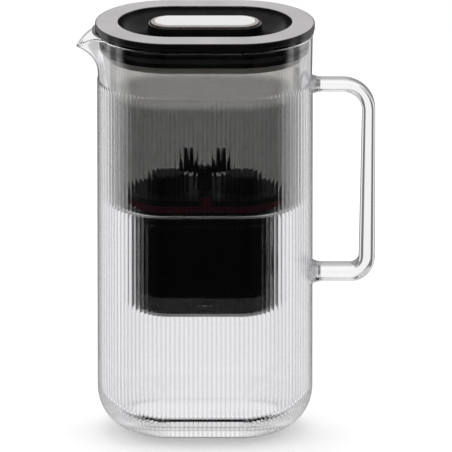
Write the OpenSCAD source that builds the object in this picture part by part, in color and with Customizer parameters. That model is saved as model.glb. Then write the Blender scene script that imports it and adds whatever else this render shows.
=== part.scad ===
// Water filter pitcher: a ribbed glass jug with a pouring lip, a smoked funnel that hangs in its
// mouth, a filter cartridge in the funnel's well, and a lid with a sprung filter indicator.
// Millimetres, +Z up, origin on the table under the middle of the jug, handle on +X, lip on -X.

/* [Glass jug] */
// Half length of the straight front and back that all oval outlines share
half_straight = 22.5; // [18:0.5:30]
// End radius of the glass over the rib crests
body_r = 47.5; // [45:0.5:54]
// Height of the glass rim above the table
jug_h = 270; // [250:1:300]
// Thickness of the glass wall
glass_wall = 2.5; // [2:0.1:3.5]
// Thickness of the glass floor
glass_floor = 12; // [8:0.5:16]
// Outside rounding of the base
base_round = 30; // [22:1:34]
// Inside rounding between wall and floor
inner_round = 20; // [14:1:26]
// Depth that is ground off the base to make it stand flat
base_grind = 0.3; // [0.1:0.1:1]

/* [Ribs] */
// Ribs round each end of the jug
ribs_end = 51; // [41:2:61]
// Ribs along each straight side
ribs_side = 15; // [11:2:21]
// Depth of the grooves between ribs
rib_depth = 0.5; // [0.2:0.1:0.8]
// Plain band between the rib tops and the rim
plain_band = 33; // [28:1:45]
// Height over which a rib runs out into the plain band
rib_runout = 1.5; // [0.5:0.5:4]

/* [Pouring lip] */
// Reach of the lip beyond the wall
lip_reach = 13.4; // [8:0.2:18]
// Dip of the rim at the tip of the lip
lip_drop = 8.5; // [4:0.5:12]
// Half width of the wall that the lip is drawn from
lip_half_w = 24; // [18:1:32]

/* [Handle] */
// Reach from the wall to the outside of the grip bar
handle_reach = 40.5; // [36:0.5:50]
// Drop from the rim to the middle of the upper arm
handle_drop = 35.5; // [32:0.5:60]
// Distance between the two arms
handle_h = 127.5; // [100:0.5:140]
// Thickness of the glass rod at the upper arm
rod_t = 8.3; // [7:0.1:11]
// Width of the glass rod at the upper arm
rod_w = 12.6; // [10:0.2:18]
// Growth of the rod towards the lower arm
rod_growth = 0.3; // [0:0.05:0.5]
// Centre line radius of the upper corner
upper_bend = 17; // [12:0.5:22]
// Centre line radius of the lower corner
lower_bend = 11; // [9:0.5:16]
// Lean of the grip bar towards the jug at its foot
bar_lean = 1.3; // [0:0.1:4]

/* [Funnel] */
// Wall thickness of the smoked hopper
hopper_wall = 1.8; // [1.4:0.1:2.4]
// Depth of the hopper below the rim
hopper_depth = 116; // [100:1:125]
// Narrowing of the hopper below the collar
hopper_taper = 2.6; // [1:0.1:4]
// Height of the tapered stretch below the collar
taper_h = 27; // [15:1:40]
// Rounding of the hopper's lower edge
hopper_round = 5; // [3:0.5:8]
// End radius of the cartridge well
well_r = 25.5; // [24:0.5:28]
// Depth of the well below the hopper floor
well_depth = 71.5; // [64:0.5:84]
// Height of the thicker socket at the top of the well
socket_h = 9; // [6:1:20]
// Extra thickness of the socket
socket_step = 1; // [0.5:0.1:2]
// Bore of the outlet in the well floor
outlet_d = 9; // [6:0.5:12]
// Depth of the black collar skirt inside the jug
skirt_depth = 11; // [9:0.5:14]
// Thickness of the collar skirt
skirt_t = 1.4; // [1.2:0.1:2]
// Thickness of the collar flange on the glass rim
flange_t = 1.5; // [1.2:0.1:2.5]
// Reach of the flange past the wall
flange_over = 0.7; // [0.3:0.1:1]
// Reach of the tongue that shields the lip
tongue_reach = 2.6; // [1.5:0.1:4]
// End radius of the tongue
tongue_r = 26; // [20:1:32]

/* [Cartridge] */
// Depth of the cup below the hopper floor
cup_depth = 61; // [54:1:68]
// Wall thickness of the cup
cup_wall = 1.5; // [1.2:0.1:2]
// Height of the silicone seal
seal_h = 4.2; // [2:0.2:5]
// Width of the seal round the cup
seal_w = 5.8; // [5:0.2:7]
// Thickness of the cup flange and of the cap plate
cap_t = 1.5; // [1.2:0.1:2.5]
// Radius of an inlet dome at its foot
dome_r = 13; // [11:0.5:15]
// Height of an inlet dome
dome_h = 11; // [6:0.5:13]
// Thickness of the domes
dome_t = 1.4; // [1:0.1:2]
// Inlet slots in each dome
dome_slots = 6; // [4:1:8]
// Height of the finger grip above the cap plate
grip_h = 27; // [18:0.5:34]
// Width across the wings of the finger grip
grip_w = 34; // [28:0.5:40]
// Thickness of the screens
screen_t = 1.5; // [1:0.1:2]
// Space above the filter media for the water to spread
media_headroom = 5; // [3:0.5:12]

/* [Lid] */
// Overhang of the lid past the glass
lid_over = 1.25; // [1:0.05:3]
// Height of the lid's side
lid_side_h = 4.4; // [4:0.1:7]
// Rise of the satin ring from its outer to its inner edge
ring_rise = 0.5; // [0:0.1:1.5]
// Width of the satin ring
ring_w = 14.1; // [11:0.1:15]
// Thickness of the satin ring
ring_t = 0.8; // [0.5:0.1:1.2]
// Depth of the grip bowl
bowl_depth = 13; // [11:0.5:14]
// Thickness of the moulded lid shell
shell_t = 1.8; // [1.4:0.1:2.2]
// Depth of the lid plug below the rim
plug_depth = 16; // [14:0.5:24]
// Wall thickness of the lid plug
plug_wall = 1.6; // [1.4:0.1:2.2]

/* [Indicator] */
// End radius of the white press cap
pill_r = 10.4; // [10:0.1:11]
// Height of the press cap above the lid
pill_proud = 0.8; // [0.5:0.1:2]
// Width of the bezel
bezel_w = 1.85; // [1.8:0.05:2.4]
// Travel of the press cap
press_travel = 0.8; // [0.4:0.1:1]
// Diameter of the coin cell
cell_d = 20; // [16:1:20]
// Thickness of the coin cell
cell_h = 3.2; // [2.5:0.1:3.2]
// Thickness of the circuit board
board_t = 1; // [0.8:0.1:1.6]
// Height of the parts room above the circuit board
board_room = 4; // [3.5:0.1:6]

/* [Clearances] */
// Gap round a piece that lifts out
lift_gap = 0.5; // [0.4:0.05:1]
// Gap under a piece that rests on another
seat_gap = 0.3; // [0.2:0.05:0.5]
// Gap between pieces that are bonded or snapped together
bond_gap = 0.1; // [0.05:0.01:0.2]
// Gap round the press cap
press_gap = 0.35; // [0.3:0.05:0.5]
// Stand of a silicone ring out of its groove
ring_proud = 0.2; // [0.1:0.05:0.3]

/* [Hidden] */
$fn = 96;
eps = 0.01;
over = 1;

// Heights up the jug
rib_top = jug_h - plain_band;
plain_z = rib_top + rib_runout;
inner_r = body_r - glass_wall;
end_x = half_straight + body_r;
base_steps = 5;
lip_steps = 5;
lip_curve = 3.2;
dip_curve = 2.2;
rise_curve = 1.6;
rim_round = glass_wall * 0.35;
rib_fade_deg = 30;

// Handle
upper_z = jug_h - handle_drop;
bar_x = end_x + handle_reach - rod_t / 2;
rod_sides = 20;
rod_square = 0.38;
bend_steps = 8;
weld_flare = 0.32;
weld_len = 8;
weld_steps = 5;

// Collar and hopper
skirt_r = inner_r - lift_gap;
hopper_top_r = skirt_r - skirt_t - bond_gap;
hopper_r = hopper_top_r - hopper_taper;
flange_z0 = jug_h + seat_gap;
flange_z1 = flange_z0 + flange_t;
flange_r = body_r + flange_over;
skirt_z = jug_h - skirt_depth;
groove_d = 0.7;
groove_h = 3;
groove_up = 3;
floor_z = jug_h - hopper_depth;
floor_top = floor_z + hopper_wall;
well_z = floor_z - well_depth;
well_round = 6;
socket_r = well_r + socket_step;

// Cartridge
cup_gap = 0.9;
cup_r = well_r - hopper_wall - cup_gap;
cup_in_r = cup_r - cup_wall;
cup_z = floor_top - cup_depth;
cup_round = 4;
seal_r = cup_r + seal_w;
seal_z = floor_top + seat_gap;
rim_z = seal_z + seal_h;
rim_inset = 1;
rim_r = seal_r - rim_inset;
cap_z = rim_z + cap_t + bond_gap;
cap_top = cap_z + cap_t;
cap_inset = 0.8;
cap_r = rim_r - cap_inset;
spigot_h = 4;
spigot_wall = 1.4;
dome_shift = 1.5;
dome_x = half_straight + dome_shift;
dome_round = 4;
slot_w = 1.6;
slot_start = 0.45;
slot_sill = 0.35;
grip_t = 6;
grip_foot = 8;
grip_neck_w = 13;
grip_top_w = 25;
grip_neck = 0.42;
grip_wing = 0.5;
grip_notch = 8.5;
notch_depth = grip_h * (1 - grip_wing);
tab_w = 6;
tab_h = 6.5;
outlet_hole_d = 3;
outlet_pitch = 7;
outlet_cols = 3;
outlet_rows = 1;
fill_r = cup_in_r - bond_gap;
media_z = cup_z + cup_wall + 2 * bond_gap + max(screen_t, cup_round - cup_wall);
media_top = cap_z - spigot_h - media_headroom - screen_t - bond_gap;

// Lid
lid_r = body_r + lid_over;
lid_z = flange_z1 + seat_gap;
lid_edge = lid_z + lid_side_h;
lid_peak = lid_edge + ring_rise;
edge_cut = 0.6;
ring_out = lid_r - edge_cut;
recess_r = ring_out - ring_w;
rebate_out = lid_edge - ring_t - bond_gap;
rebate_in = lid_peak - ring_t - bond_gap;
plate_z = lid_edge - ring_t - bond_gap - shell_t;
rim_wall = 2.2;
bowl_floor = lid_peak - bowl_depth;
bowl_c = recess_r - bowl_depth;
plug_z = jug_h - plug_depth;
plug_r = hopper_top_r - hopper_wall - lift_gap;
plug_round = 1.5;
plug_groove_down = 7;
plug_groove_z = jug_h - plug_groove_down;

// Indicator, stacked down from the top of the press cap
pill_top = lid_peak + pill_proud;
pill_round = 0.5;
bezel_sunk = 0.5;
bezel_top = pill_top - bezel_sunk;
bezel_lip = 1;
bezel_in = pill_r + press_gap;
bezel_r = bezel_in + bezel_w;
bezel_wall = 0.85;
cap_flange_top = bezel_top - bezel_lip - seat_gap;
cap_flange_t = 0.8;
cap_flange_r = bezel_r - bezel_wall - press_gap;
deck_top = cap_flange_top - cap_flange_t - press_travel - seat_gap * 2;
deck_t = 1.2;
deck_z = deck_top - deck_t;
board_top = deck_z - board_room;
board_z = board_top - board_t;
contact_t = 0.3;
contact_room = 1;
cell_top = board_z - contact_room;
cell_z = cell_top - cell_h;
cover_top = cell_z - contact_t * 2;
tub_seal_t = 0.4;
tub_z = cover_top + tub_seal_t;
cover_t = 1.4;
cover_z = cover_top - cover_t;
tub_r = bezel_r - bond_gap;
tub_wall = 1.2;
tub_in = tub_r - tub_wall;
board_gap = 0.7;
board_r = tub_in - board_gap;
pocket_r = bezel_r + press_gap;
pocket_z = cover_z - seat_gap;
pocket_t = 1.4;
pedestal_wall = 1.4;
pedestal_draft = 1;
pedestal_sunk = 1;
pedestal_r = pocket_r + pedestal_wall;
pedestal_foot = pedestal_r + pedestal_draft;
pedestal_top = lid_peak - pedestal_sunk;
cell_side = 0.5;
cell_x = cell_d / 2 + cell_side - half_straight;
boss_out = 6.2;
boss_x = half_straight + boss_out;
boss_y = 5;
boss_r = 1.9;
screw_r = 0.8;
screw_bore_r = 0.9;
screw_head_r = 1.6;
screw_head_h = 0.8;
screw_len = 5;
post_in = 3;
post_x = half_straight - post_in;
post_y = 7;
post_r = 1.2;
board_over = 3;
board_half = half_straight + board_over;
switch_w = 5;
switch_h = 1.7;
plunger_r = 1.5;
plunger_h = 0.7;
stem_r = 1.8;
stem_bore_r = 3;
window = [9, 6];
window_in = 6.5;
window_x = half_straight - window_in;
led = [1.6, 0.8, 0.6];
led_pitch = 4;
led_x = [window_x - led_pitch / 2, window_x + led_pitch / 2];
contact_gap = 0.05;
leaf_w = 4;
strip_gap = 0.6;
crimp = 0.3;

// Points on an arc from angle a0 to a1 about c
function arc(c, r, a0, a1, n = 8) =
    [for (i = [0:n]) let (a = a0 + (a1 - a0) * i / n) c + r * [cos(a), sin(a)]];

// Column i of an oval ring: the centre on X that it swings about, and its angle
function column(i, n_end, n_side) =
    i < n_end ? [half_straight, -90 + 180 * i / n_end] :
    i < n_end + n_side ? [half_straight * (1 - 2 * (i - n_end) / n_side), 90] :
    i < 2 * n_end + n_side ? [-half_straight, 90 + 180 * (i - n_end - n_side) / n_end] :
    [half_straight * (2 * (i - 2 * n_end - n_side) / n_side - 1), 270];

function on_oval(c, r, z) = [c[0] + r * cos(c[1]), r * sin(c[1]), z];

// Share of the lip's full reach at a column: one at the tip, none past the half width
function lip_share(c) =
    let (y = abs(body_r * sin(c[1])))
    c[1] > 90 && c[1] < 270 && y < lip_half_w ? pow(cos(90 * y / lip_half_w), 2) : 0;

// Point of the plain band at share u of its height, drawn out into the lip
function band_point(c, r, u, sink = 0) =
    let (g = lip_share(c), top = jug_h - lip_drop * pow(g, dip_curve) - sink)
    on_oval(c, r, plain_z + u * (top - plain_z)) - [lip_reach * g * pow(u, lip_curve), 0, 0];

// Triangles that close the ring of n points at a to the point at c
function fan(a, c, n) = [for (i = [0:n - 1]) [c, a + i, a + (i + 1) % n]];

// Two triangles for each cell between ring a and ring b, both of n points
function band(a, b, n) =
    [for (i = [0:n - 1]) let (j = (i + 1) % n)
        each [[a + i, b + i, b + j], [a + i, b + j, a + j]]];

// Band from a ring of 2n points to a ring of n points
function halving_band(a, b, n) =
    [for (i = [0:n - 1]) let (j = (i + 1) % n, m = a + 2 * i, e = a + 2 * j)
        each [[m, b + i, m + 1], [m + 1, b + i, b + j], [m + 1, b + j, e]]];

// Sweeps a profile of radius and height round the oval
module oval_sweep() {
    for (side = [-1, 1])
        translate([side * half_straight, 0, 0])
            rotate([0, 0, side * 90 - 180])
                rotate_extrude(angle = 180)
                    children();
    translate([-half_straight, 0, 0])
        rotate([90, 0, 90])
            linear_extrude(2 * half_straight) {
                children();
                mirror([1, 0]) children();
            }
}

// Solid oval slab of end radius r between two heights
module oval_slab(r, z0, z1) {
    oval_sweep() translate([0, z0]) square([r, z1 - z0]);
}

// Oval ring between two radii and two heights
module oval_ring(r0, r1, z0, z1) {
    oval_sweep() translate([r0, z0]) square([r1 - r0, z1 - z0]);
}

// Ribbed glass wall with a rounded base and a drawn lip, one closed skin
module glass_body() {
    n_end = 2 * ribs_end;
    n_side = 2 * ribs_side;
    fine = [for (i = [0:2 * (n_end + n_side) - 1]) column(i, n_end, n_side)];
    plain = [for (i = [0:2 * (ribs_end + ribs_side) - 1]) column(i, ribs_end, ribs_side)];
    n_fine = len(fine);
    n = len(plain);
    base = [for (k = [0:base_steps]) 90 * k / base_steps];
    rise = [for (k = [0:lip_steps]) 1 - pow(1 - k / lip_steps, rise_curve)];
    ribbed = concat(
        [for (a = base) [body_r - base_round * (1 - sin(a)),
                         base_round * (1 - cos(a)) - base_grind,
                         min(1, a / rib_fade_deg)]],
        [[body_r, rib_top, 1]]);
    ribbed_points = [for (p = ribbed, i = [0:n_fine - 1])
        on_oval(fine[i], p[0] - p[2] * rib_depth * (i % 2), p[1])];
    outer_points = [for (u = rise, c = plain) band_point(c, body_r, u, rim_round)];
    crown_points = [for (c = plain) band_point(c, (body_r + inner_r) / 2, 1)];
    inner_points = [for (k = [lip_steps:-1:0], c = plain) band_point(c, inner_r, rise[k], rim_round)];
    floor_points = [for (k = [base_steps:-1:0], c = plain) let (a = base[k])
        on_oval(c, inner_r - inner_round * (1 - sin(a)), glass_floor + inner_round * (1 - cos(a)))];
    rows = 2 * (lip_steps + 1) + 1 + base_steps + 1;
    start = len(ribbed_points);
    last = start + (rows - 1) * n;
    under = last + n;
    color("gainsboro", 0.4) difference() {
        polyhedron(
            points = concat(ribbed_points, outer_points, crown_points, inner_points, floor_points,
                            [[0, 0, -base_grind], [0, 0, glass_floor]]),
            faces = concat(
                fan(0, under, n_fine),
                [for (k = [0:len(ribbed) - 2]) each band(k * n_fine, (k + 1) * n_fine, n_fine)],
                halving_band((len(ribbed) - 1) * n_fine, start, n),
                [for (k = [0:rows - 2]) each band(start + k * n, start + (k + 1) * n, n)],
                [for (f = fan(last, under + 1, n)) [f[0], f[2], f[1]]]));
        translate([-end_x, -body_r, -2 * base_grind]) cube([2 * end_x, 2 * body_r, 2 * base_grind]);
    }
}

// Points of the handle's centre line: place, heading and distance from the nearer weld
function handle_path() =
    let (x0 = end_x - over - bar_lean, up = upper_z, low = upper_z - handle_h,
         weld = [for (k = [0:weld_steps]) weld_len * k / weld_steps],
         c1 = [bar_x - upper_bend, up - upper_bend], c2 = [bar_x - lower_bend, low + lower_bend])
    concat(
        [for (d = weld) [x0 + d, up, 0, d]],
        [for (k = [0:bend_steps]) let (a = 90 - 90 * k / bend_steps)
            [c1[0] + upper_bend * cos(a), c1[1] + upper_bend * sin(a), a - 90, weld_len]],
        [for (k = [0:bend_steps]) let (a = -90 * k / bend_steps)
            [c2[0] + lower_bend * cos(a), c2[1] + lower_bend * sin(a), a - 90, weld_len]],
        [for (d = weld) [x0 + weld_len - d, low, -180, weld_len - d]]);

// Glass rod of rounded oblong section, bent into a grip and welded to the wall at both ends
module glass_handle() {
    path = handle_path();
    points = [for (p = path, k = [0:rod_sides - 1])
        let (grow = 1 + rod_growth * (upper_z - p[1]) / handle_h,
             flare = 1 + weld_flare * pow(1 - p[3] / weld_len, 2),
             a = 360 * k / rod_sides,
             t = sign(cos(a)) * pow(abs(cos(a)), rod_square) * rod_t / 2 * grow * flare,
             w = sign(sin(a)) * pow(abs(sin(a)), rod_square) * rod_w / 2 * grow * flare,
             lean = bar_lean * (upper_z - p[1]) / handle_h)
        [p[0] - t * sin(p[2]) - lean, w, p[1] + t * cos(p[2])]];
    ends = (len(path) - 1) * rod_sides;
    color("gainsboro", 0.4) difference() {
        polyhedron(points = points, faces = concat(
            [[for (k = [0:rod_sides - 1]) k]],
            [for (i = [0:len(path) - 2]) each band(i * rod_sides, (i + 1) * rod_sides, rod_sides)],
            [[for (k = [rod_sides - 1:-1:0]) ends + k]]));
        oval_slab(body_r, -over, jug_h + over);
    }
}

// Outline of the hopper and its well, drawn in by a wall thickness for the inside
function hopper_outline(inset, top) = concat(
    [[0, well_z + inset]],
    arc([well_r - well_round, well_z + well_round], well_round - inset, -90, 0),
    inset > 0 ? [[well_r - inset, floor_z + inset]] :
        [[well_r, floor_z - socket_h], [socket_r, floor_z - socket_h], [socket_r, floor_z]],
    arc([hopper_r - hopper_round, floor_z + hopper_round], hopper_round - inset, -90, 0),
    [[hopper_r - inset, skirt_z - taper_h], [hopper_top_r - inset, skirt_z],
     [hopper_top_r - inset, top], [0, top]]);

// Smoked reservoir with the cartridge well moulded under its floor
module hopper() {
    color("dimgray", 0.7) difference() {
        oval_sweep() polygon(hopper_outline(0, flange_z1));
        oval_sweep() polygon(hopper_outline(hopper_wall, flange_z1 + over));
        translate([0, 0, well_z - over]) cylinder(h = hopper_wall + 2 * over, d = outlet_d);
    }
}

// Black ring that hangs the hopper from the glass rim, with a tongue over the lip
module hopper_collar() {
    skirt_in = skirt_r - skirt_t;
    groove_z = skirt_z + groove_up;
    color("black") {
        oval_sweep() difference() {
            polygon([[skirt_in, skirt_z], [skirt_r, skirt_z], [skirt_r, flange_z0], [flange_r, flange_z0],
                     [flange_r, flange_z1], [skirt_in, flange_z1]]);
            translate([skirt_r - groove_d, groove_z]) square([groove_d + over, groove_h]);
        }
        difference() {
            translate([tongue_r - half_straight - flange_r - tongue_reach, 0, flange_z0])
                cylinder(h = flange_t, r = tongue_r);
            oval_slab(skirt_r + glass_wall, flange_z0 - over, flange_z1 + over);
        }
    }
}

// Silicone ring in the skirt's groove
module collar_gasket() {
    groove_z = skirt_z + groove_up;
    color("darkslategray") oval_ring(skirt_r - groove_d + bond_gap, skirt_r + ring_proud,
        groove_z + bond_gap, groove_z + groove_h - bond_gap);
}

// Black cup of the cartridge, open at the top, drained through its floor
module cartridge_cup() {
    color("black") difference() {
        oval_sweep() polygon(concat(
            [[0, cup_z]], arc([cup_r - cup_round, cup_z + cup_round], cup_round, -90, 0),
            [[cup_r, rim_z], [rim_r, rim_z], [rim_r, rim_z + cap_t], [0, rim_z + cap_t]]));
        oval_sweep() polygon(concat(
            [[0, cup_z + cup_wall]],
            arc([cup_r - cup_round, cup_z + cup_round], cup_round - cup_wall, -90, 0),
            [[cup_in_r, rim_z + cap_t + over], [0, rim_z + cap_t + over]]));
        for (ix = [-outlet_cols:outlet_cols], iy = [-outlet_rows:outlet_rows])
            translate([ix * outlet_pitch, iy * outlet_pitch, cup_z - over])
                cylinder(h = cup_wall + 2 * over, d = outlet_hole_d);
    }
}

// Cap plate with two slotted inlet domes and a forked finger grip between them
module cartridge_cap() {
    color("#1a1a1a") difference() {
        union() {
            oval_slab(cap_r, cap_z, cap_top);
            oval_ring(fill_r - spigot_wall, fill_r, cap_z - spigot_h, cap_z + eps);
            for (side = [-1, 1])
                translate([side * dome_x, 0, cap_z + eps])
                    rotate_extrude() dome_profile(0, cap_t - eps);
            translate([0, grip_t / 2, cap_z + eps]) rotate([90, 0, 0]) linear_extrude(grip_t) grip_outline();
        }
        for (side = [-1, 1])
            translate([side * dome_x, 0, cap_z - over]) {
                rotate_extrude() dome_profile(dome_t, cap_t + over);
                for (k = [0:dome_slots - 1])
                    rotate([0, 0, 360 * (k + 0.5) / dome_slots])
                        translate([dome_r * slot_start, -slot_w / 2, cap_t + over + dome_h * slot_sill])
                            cube([dome_r, slot_w, dome_h]);
            }
    }
}

// Half section of a round-shouldered dome, taken in by inset, on a plate of thickness foot
module dome_profile(inset, foot) {
    polygon(concat(
        [[0, 0], [dome_r - inset, 0]],
        arc([dome_r - dome_round, foot + dome_h - dome_round], dome_round - inset, 0, 90),
        [[0, foot + dome_h - inset]]));
}

// Fork seen from the front: a stem that spreads to two wings, which narrow upwards to two prongs
module grip_outline() {
    difference() {
        for (side = [0, 1])
            mirror([side, 0])
                polygon([[0, 0], [grip_foot / 2, 0], [grip_neck_w / 2, cap_t + grip_h * grip_neck],
                         [grip_w / 2, cap_t + grip_h * grip_wing], [grip_top_w / 2, cap_t + grip_h],
                         [0, cap_t + grip_h]]);
        translate([0, cap_t + grip_h + over]) scale([1, notch_depth / grip_notch]) circle(r = grip_notch);
    }
}

// Silicone ring under the cup's flange, with a pull tab at the front
module cartridge_seal() {
    color("#4a1020") {
        oval_ring(cup_r + bond_gap, seal_r, seal_z, rim_z - bond_gap);
        translate([-tab_w / 2, -seal_r, rim_z - bond_gap - eps])
            cube([tab_w, seal_r - rim_r - bond_gap, tab_h]);
    }
}

// Fine screen under the cap
module inlet_screen() {
    color("silver") oval_slab(fill_r, media_top + bond_gap, media_top + bond_gap + screen_t);
}

// Packed bed of carbon and resin grains
module filter_media() {
    color("#2b2b28") oval_slab(fill_r, media_z, media_top);
}

// Felt screen over the drain holes
module outlet_screen() {
    color("gainsboro") oval_slab(cup_r - cup_round, cup_z + cup_wall + bond_gap, media_z - bond_gap);
}

// Moulded lid: rim, grip bowl and the oval pedestal that carries the indicator
module lid_shell() {
    under_r = bowl_depth + shell_t;
    under_a = -asin((lid_peak - plate_z) / under_r);
    bowl_a = -asin((lid_peak - rebate_in) / bowl_depth);
    color("#161416") oval_sweep() polygon(concat(
        [[0, pocket_z - pocket_t], [pedestal_foot, pocket_z - pocket_t],
         [pedestal_foot, bowl_floor - shell_t]],
        arc([bowl_c, lid_peak], under_r, -90, under_a),
        [[lid_r - rim_wall, plate_z], [lid_r - rim_wall, lid_z], [lid_r - edge_cut, lid_z],
         [lid_r, lid_z + edge_cut], [lid_r, lid_edge - edge_cut], [ring_out + bond_gap, lid_edge],
         [ring_out + bond_gap, rebate_out], [recess_r, rebate_in]],
        arc([bowl_c, lid_peak], bowl_depth, bowl_a, -90),
        [[pedestal_foot, bowl_floor], [pedestal_r, pedestal_top], [pocket_r, pedestal_top],
         [pocket_r, pocket_z], [0, pocket_z]]));
}

// Satin ring let into the top of the lid
module lid_ring() {
    color("#8f8b8f") oval_sweep() polygon([
        [recess_r + bond_gap, rebate_in + bond_gap], [ring_out, rebate_out + bond_gap],
        [ring_out, lid_edge], [recess_r + bond_gap, lid_peak]]);
}

// Hollow plug that closes the lid from below and fits in the hopper's mouth
module lid_plug() {
    color("#101010") oval_sweep() difference() {
        polygon(concat(
            [[0, plug_z]], arc([plug_r - plug_round, plug_z + plug_round], plug_round, -90, 0, 4),
            [[plug_r, plate_z - bond_gap], [plug_r - plug_wall, plate_z - bond_gap],
             [plug_r - plug_wall, plug_z + plug_wall], [0, plug_z + plug_wall]]));
        translate([plug_r - groove_d, plug_groove_z]) square([groove_d + over, groove_h]);
    }
}

// Silicone ring in the plug's groove
module lid_gasket() {
    color("darkslategray") oval_ring(plug_r - groove_d + bond_gap, plug_r + ring_proud,
        plug_groove_z + bond_gap, plug_groove_z + groove_h - bond_gap);
}

// White press cap, flanged under the bezel, with a stem over the switch
module indicator_cap() {
    color("whitesmoke") {
        flange_foot = cap_flange_top - cap_flange_t;
        oval_sweep() polygon([[0, flange_foot], [cap_flange_r, flange_foot],
            [cap_flange_r, cap_flange_top], [pill_r, cap_flange_top], [pill_r, pill_top - pill_round],
            [pill_r - pill_round, pill_top], [0, pill_top]]);
        stem_z = board_top + bond_gap + switch_h + plunger_h + press_travel + seat_gap;
        translate([0, 0, stem_z]) cylinder(h = cap_flange_top - stem_z, r = stem_r);
    }
}

// Bright ring that holds the press cap down
module indicator_bezel() {
    color("#6d686a") oval_sweep() polygon([
        [bezel_r - bezel_wall, deck_top + bond_gap], [bezel_r, deck_top + bond_gap],
        [bezel_r, bezel_top - bezel_lip / 2], [bezel_r - bezel_lip / 2, bezel_top], [bezel_in, bezel_top],
        [bezel_in, bezel_top - bezel_lip], [bezel_r - bezel_wall, bezel_top - bezel_lip]]);
}

// Calls its children at the four cover bosses
module at_bosses() {
    for (sx = [-1, 1], sy = [-1, 1])
        translate([sx * boss_x, sy * boss_y, 0]) children();
}

// Tub that houses the circuit board, open below, with windows in its deck
module indicator_tub() {
    color("#202020") difference() {
        union() {
            oval_ring(tub_in, tub_r, tub_z, deck_top);
            oval_slab(tub_in + eps, deck_z, deck_top);
            at_bosses() translate([0, 0, cover_top + bond_gap]) cylinder(h = deck_z - cover_top, r = boss_r);
            for (sx = [-1, 1], sy = [-1, 1])
                translate([sx * post_x, sy * post_y, board_top + bond_gap])
                    cylinder(h = board_room, r = post_r);
        }
        translate([0, 0, deck_z - over]) cylinder(h = deck_t + 2 * over, r = stem_bore_r);
        for (side = [-1, 1])
            translate([side * window_x - window[0] / 2, -window[1] / 2, deck_z - over])
                cube([window[0], window[1], deck_t + 2 * over]);
        at_bosses() translate([0, 0, cover_top - over]) cylinder(h = screw_len + over, r = screw_bore_r);
    }
}

// Plate that closes the tub from below
module tub_cover() {
    color("#2a2a2a") difference() {
        oval_slab(tub_r, cover_z, cover_top);
        at_bosses() {
            translate([0, 0, cover_z - over]) cylinder(h = cover_t + 2 * over, r = screw_bore_r);
            translate([0, 0, cover_z - over])
                cylinder(h = screw_head_h + over, r = screw_head_r + 2 * bond_gap);
        }
    }
}

// Flat gasket between tub and cover
module tub_seal() {
    color("darkslategray") oval_ring(tub_in + bond_gap, tub_r - bond_gap, cover_top, tub_z);
}

// Four screws that clamp the cover
module cover_screws() {
    color("silver") at_bosses() {
        translate([0, 0, cover_z]) cylinder(h = screw_head_h, r = screw_head_r);
        translate([0, 0, cover_z]) cylinder(h = cover_t + screw_len - 2 * bond_gap, r = screw_r);
    }
}

// Circuit board under the deck
module circuit_board() {
    color("darkgreen") intersection() {
        oval_slab(board_r, board_z, board_top);
        translate([-board_half, -board_r - over, board_z - over])
            cube([2 * board_half, 2 * (board_r + over), board_t + 2 * over]);
    }
}

// Coin cell lying under the board
module coin_cell() {
    color("lightgray") translate([cell_x, 0, 0]) rotate_extrude() polygon([
        [0, cell_z], [cell_d / 2 - 3 * crimp, cell_z], [cell_d / 2, cell_z + 3 * crimp],
        [cell_d / 2, cell_top - crimp], [cell_d / 2 - crimp, cell_top], [0, cell_top]]);
}

// Leaf over the cell and strip under it, both led up to the board
module cell_contacts() {
    strip_x = cell_x + cell_d / 2 + strip_gap;
    strip_z = cell_z - contact_t - contact_gap;
    color("gold") {
        translate([cell_x - cell_d / 4, -leaf_w / 2, cell_top + contact_gap])
            cube([cell_d / 2, leaf_w, contact_t]);
        for (side = [-1, 1])
            translate([cell_x + side * cell_d / 4 - contact_t / 2, -leaf_w / 2, cell_top + contact_gap])
                cube([contact_t, leaf_w, contact_room - 2 * contact_gap]);
        translate([cell_x, -leaf_w / 2, strip_z]) cube([strip_x + contact_t - cell_x, leaf_w, contact_t]);
        translate([strip_x, -leaf_w / 2, strip_z]) cube([contact_t, leaf_w, board_z - cell_z + contact_t]);
    }
}

// Dome switch under the press cap's stem
module reset_switch() {
    color("#303030") {
        translate([-switch_w / 2, -switch_w / 2, board_top + bond_gap]) cube([switch_w, switch_w, switch_h]);
        translate([0, 0, board_top + bond_gap + switch_h - eps]) cylinder(h = plunger_h + eps, r = plunger_r);
    }
}

// Lamps that shine through the deck's windows into the press cap
module status_leds() {
    color("white") for (side = [-1, 1], x = led_x)
        translate([side * x - led[0] / 2, -led[1] / 2, board_top + bond_gap / 2]) cube(led);
}

glass_body();
glass_handle();
hopper();
hopper_collar();
collar_gasket();
cartridge_cup();
cartridge_cap();
cartridge_seal();
inlet_screen();
filter_media();
outlet_screen();
lid_shell();
lid_ring();
lid_plug();
lid_gasket();
indicator_cap();
indicator_bezel();
indicator_tub();
tub_cover();
tub_seal();
cover_screws();
circuit_board();
coin_cell();
cell_contacts();
reset_switch();
status_leds();
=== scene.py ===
"""Looks of a water filter pitcher: ribbed glass jug, smoked funnel, cartridge and lid."""

import math

import bmesh
import bpy
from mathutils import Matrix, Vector, noise


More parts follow.
